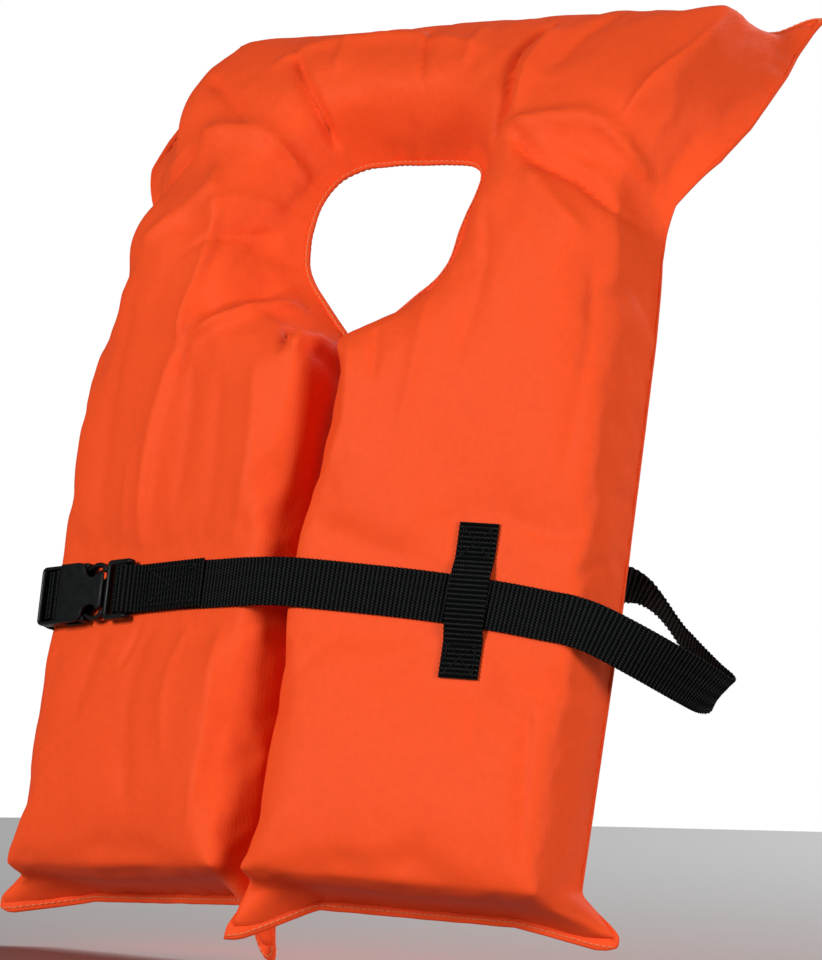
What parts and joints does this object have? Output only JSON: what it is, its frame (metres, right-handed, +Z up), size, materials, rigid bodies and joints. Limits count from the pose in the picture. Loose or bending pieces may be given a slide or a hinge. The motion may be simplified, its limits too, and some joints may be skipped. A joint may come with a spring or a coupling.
{
  "type": "life jacket",
  "caption": "Keyhole foam life jacket as worn: two front panels, a folded-back collar, and a webbing belt with a keeper and a side-release buckle.",
  "frame": {"origin": "centre of the neck opening", "axes": "+Z up as worn, the front of the jacket faces -Y, +X towards the panel with the belt keeper"},
  "size_m": [0.3902, 0.2271, 0.4754],
  "materials": {
    "cover_cloth": "plain-weave nylon, matt with a soft sheen",
    "foam": "closed-cell foam, matt",
    "orange_thread": "twisted polyester",
    "webbing": "ribbed polypropylene webbing",
    "black_thread": "twisted polyester",
    "buckle_plastic": "fine moulded satin"
  },
  "bodies": {
    "front_panels": {"right_cover_front": "cover_cloth", "right_cover_back": "cover_cloth", "left_cover_front": "cover_cloth", "left_cover_back": "cover_cloth", "right_foam_front": "foam", "right_foam_middle": "foam", "right_foam_back": "foam", "left_foam_front": "foam", "left_foam_middle": "foam", "left_foam_back": "foam", "right_shoulder_cloth": "cover_cloth", "left_shoulder_cloth": "cover_cloth", "right_seam_thread": "orange_thread", "left_seam_thread": "orange_thread", "belt_front": "webbing", "belt_fold": "webbing", "belt_rear": "webbing", "keeper_loop": "webbing", "belt_thread": "black_thread", "keeper_thread": "black_thread", "plug_frame": "buckle_plastic", "plug_guide": "buckle_plastic"},
    "collar": {"collar_cover_top": "cover_cloth", "collar_cover_back": "cover_cloth", "collar_foam_top": "foam", "collar_foam_middle": "foam", "collar_foam_back": "foam", "collar_seam_thread": "orange_thread"},
    "socket": {"socket_shell": "buckle_plastic", "socket_strap": "webbing"},
    "upper_prong": {"upper_prong": "buckle_plastic"},
    "lower_prong": {"lower_prong": "buckle_plastic"}
  },
  "joints": [
    {"name": "collar_fold", "type": "hinge", "parent": "front_panels", "child": "collar", "pos_m": [0, 0.01449, 0.0179], "axis": [1, 0, 0], "range_deg": [-40, 38], "deforming": ["right_shoulder_cloth", "left_shoulder_cloth"]},
    {"name": "buckle_slide", "type": "slide", "parent": "front_panels", "child": "socket", "axis": [-0.9803, 0.1755, -0.0908], "range_m": [0, 0.03], "deforming": ["belt_rear"]},
    {"name": "upper_prong_bend", "type": "hinge", "parent": "front_panels", "child": "upper_prong", "pos_m": [-0.11962, -0.06922, -0.1756], "axis": [-0.1908, -0.9602, 0.2041], "range_deg": [0, 13.1]},
    {"name": "lower_prong_bend", "type": "hinge", "parent": "front_panels", "child": "lower_prong", "pos_m": [-0.11847, -0.07409, -0.19744], "axis": [0.1908, 0.9602, -0.2041], "range_deg": [0, 13.1]}
  ],
  "couplings": [
    {"joint": "upper_prong_bend", "follows": "buckle_slide", "rad_per_m": 7.5631},
    {"joint": "lower_prong_bend", "follows": "buckle_slide", "rad_per_m": 7.5631}
  ]
}
